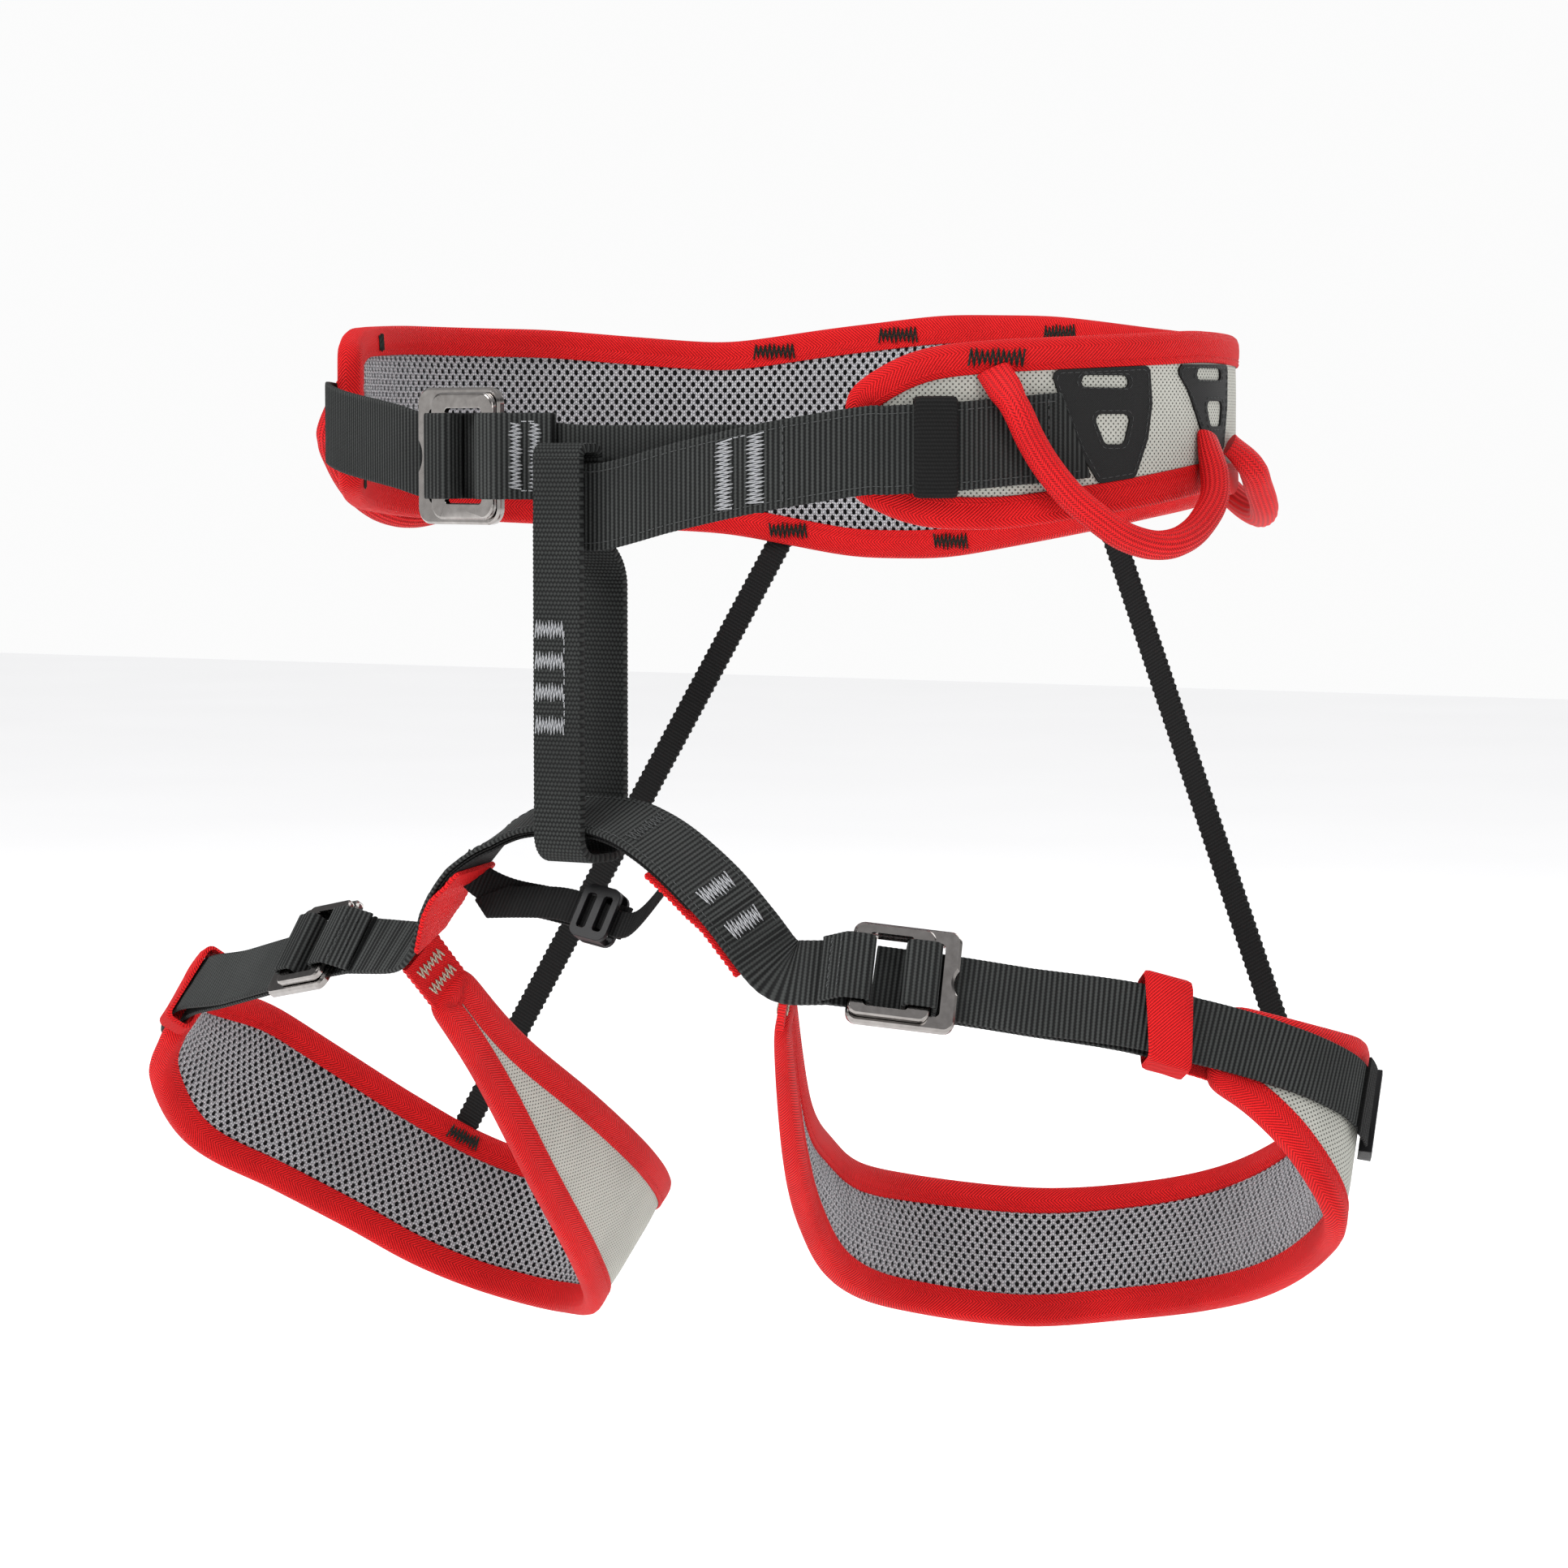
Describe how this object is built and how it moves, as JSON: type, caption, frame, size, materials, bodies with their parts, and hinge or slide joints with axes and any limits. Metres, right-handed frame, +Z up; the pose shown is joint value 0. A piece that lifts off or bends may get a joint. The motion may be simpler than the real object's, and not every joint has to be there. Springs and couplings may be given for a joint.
{
  "type": "climbing sit harness",
  "caption": "Sit harness with padded waist belt, two buckled leg loops, belay loop, sleeved gear loops and elastic rear risers.",
  "frame": {"origin": "centre of the waist ring at the middle height of the belt", "axes": "+Z up, +X to the wearer's left, -Y to the front"},
  "size_m": [0.4089, 0.2336, 0.3304],
  "materials": {
    "belay_webbing": "woven",
    "black_elastic": "woven elastic",
    "black_patch": "coated fabric",
    "black_plastic": "matte",
    "black_tape": "woven tape",
    "charcoal_webbing": "ribbed webbing",
    "foam_pad": "closed-cell foam",
    "outer_mesh": "fine mesh",
    "polished_steel": "polished",
    "red_binding": "twill tape",
    "red_sleeve": "braided sleeve",
    "spacer_mesh": "open spacer mesh"
  },
  "bodies": {
    "waist_belt": {"waist_pad": "foam_pad", "waist_lining": "spacer_mesh", "waist_shell_fabric": "outer_mesh", "waist_binding": "red_binding", "waist_webbing_left": "charcoal_webbing", "waist_strap": "charcoal_webbing", "waist_webbing_right": "charcoal_webbing", "waist_buckle_frame": "polished_steel", "overlay_left_front": "black_patch", "overlay_left_rear": "black_patch", "overlay_right_front": "black_patch", "overlay_right_rear": "black_patch", "leg_bridge": "charcoal_webbing", "leg_bridge_lining": "charcoal_webbing", "bridge_strip_left": "red_binding", "bridge_strip_right": "red_binding", "cross_strap": "black_tape", "cross_strap_link": "black_tape", "riser_left": "black_elastic", "riser_right": "black_elastic"},
    "waist_buckle_plate": {"waist_buckle_slide": "polished_steel", "waist_webbing_fold": "charcoal_webbing"},
    "belt_keeper": {"belt_keeper": "black_elastic"},
    "belay_loop": {"belay_loop": "belay_webbing"},
    "cross_strap_slider": {"cross_strap_slider": "black_plastic"},
    "gear_loop_left_front": {"gear_loop_left_front": "red_sleeve"},
    "gear_loop_left_rear": {"gear_loop_left_rear": "red_sleeve"},
    "gear_loop_right_front": {"gear_loop_right_front": "red_sleeve"},
    "gear_loop_right_rear": {"gear_loop_right_rear": "red_sleeve"},
    "leg_loop_left": {"leg_pad_left": "foam_pad", "leg_lining_left": "spacer_mesh", "leg_shell_fabric_left": "outer_mesh", "leg_binding_left": "red_binding", "leg_inner_strip_left": "red_binding", "leg_strap_left": "charcoal_webbing", "leg_strap_tail_left": "charcoal_webbing", "leg_buckle_stub_left": "charcoal_webbing", "leg_buckle_frame_left": "polished_steel", "leg_strap_keeper_left": "red_binding", "strap_end_band_left": "black_elastic", "strap_end_clip_left": "black_plastic"},
    "leg_buckle_plate_left": {"leg_buckle_slide_left": "polished_steel", "leg_strap_fold_left": "charcoal_webbing"},
    "leg_loop_right": {"leg_pad_right": "foam_pad", "leg_lining_right": "spacer_mesh", "leg_shell_fabric_right": "outer_mesh", "leg_binding_right": "red_binding", "leg_inner_strip_right": "red_binding", "leg_strap_right": "charcoal_webbing", "leg_strap_tail_right": "charcoal_webbing", "leg_buckle_stub_right": "charcoal_webbing", "leg_buckle_frame_right": "polished_steel", "leg_strap_keeper_right": "red_binding", "strap_end_band_right": "black_elastic", "strap_end_clip_right": "black_plastic"},
    "leg_buckle_plate_right": {"leg_buckle_slide_right": "polished_steel", "leg_strap_fold_right": "charcoal_webbing"}
  },
  "joints": [
    {"name": "gear_loop_left_front_swing", "type": "hinge", "parent": "waist_belt", "child": "gear_loop_left_front", "pos_m": [0.13562, -0.0375, 0.00775], "axis": [-0.3782, -0.8988, 0.2217], "range_deg": [0, 75]},
    {"name": "gear_loop_left_rear_swing", "type": "hinge", "parent": "waist_belt", "child": "gear_loop_left_rear", "pos_m": [0.12297, 0.05511, -0.004], "axis": [0.5905, -0.807, 0], "range_deg": [0, 75]},
    {"name": "gear_loop_right_front_swing", "type": "hinge", "parent": "waist_belt", "child": "gear_loop_right_front", "pos_m": [-0.1432, 0.01567, 0.011], "axis": [0.1894, 0.9265, -0.3251], "range_deg": [0, 75]},
    {"name": "gear_loop_right_rear_swing", "type": "hinge", "parent": "waist_belt", "child": "gear_loop_right_rear", "pos_m": [-0.10214, 0.08395, -0.005], "axis": [0.8019, 0.5964, -0.0353], "range_deg": [0, 75]},
    {"name": "belay_loop_swing", "type": "hinge", "parent": "waist_belt", "child": "belay_loop", "pos_m": [0, -0.113, -0.006], "axis": [0, 1, 0], "range_deg": [-3, 2]},
    {"name": "belt_keeper_slide", "type": "slide", "parent": "waist_belt", "child": "belt_keeper", "axis": [0.7977, 0.603, 0], "range_m": [-0.004, 0.002]},
    {"name": "cross_strap_slider_slide", "type": "slide", "parent": "waist_belt", "child": "cross_strap_slider", "axis": [0.9854, 0, -0.1701], "range_m": [-0.008, 0.003]},
    {"name": "waist_buckle_plate_tilt", "type": "hinge", "parent": "waist_belt", "child": "waist_buckle_plate", "pos_m": [-0.02899, -0.11249, -0.005], "axis": [0, 0, 1], "range_deg": [0, 8]},
    {"name": "leg_loop_left_swing", "type": "hinge", "parent": "waist_belt", "child": "leg_loop_left", "pos_m": [0.067, -0.105, -0.15], "axis": [1, 0, 0], "range_deg": [-15, 30], "stiffness_Nm_per_rad": 2, "deforming": ["riser_left"]},
    {"name": "leg_buckle_plate_left_tilt", "type": "hinge", "parent": "leg_loop_left", "child": "leg_buckle_plate_left", "pos_m": [0.08928, -0.1003, -0.14881], "axis": [0.1708, -0.4752, -0.8631], "range_deg": [0, 8]},
    {"name": "leg_loop_right_swing", "type": "hinge", "parent": "waist_belt", "child": "leg_loop_right", "pos_m": [-0.0604, -0.105, -0.15], "axis": [1, 0, 0], "range_deg": [-15, 30], "stiffness_Nm_per_rad": 2, "deforming": ["riser_right"]},
    {"name": "leg_buckle_plate_right_tilt", "type": "hinge", "parent": "leg_loop_right", "child": "leg_buckle_plate_right", "pos_m": [-0.09523, -0.10174, -0.15038], "axis": [0.0504, 0.61, 0.7908], "range_deg": [0, 8]}
  ]
}
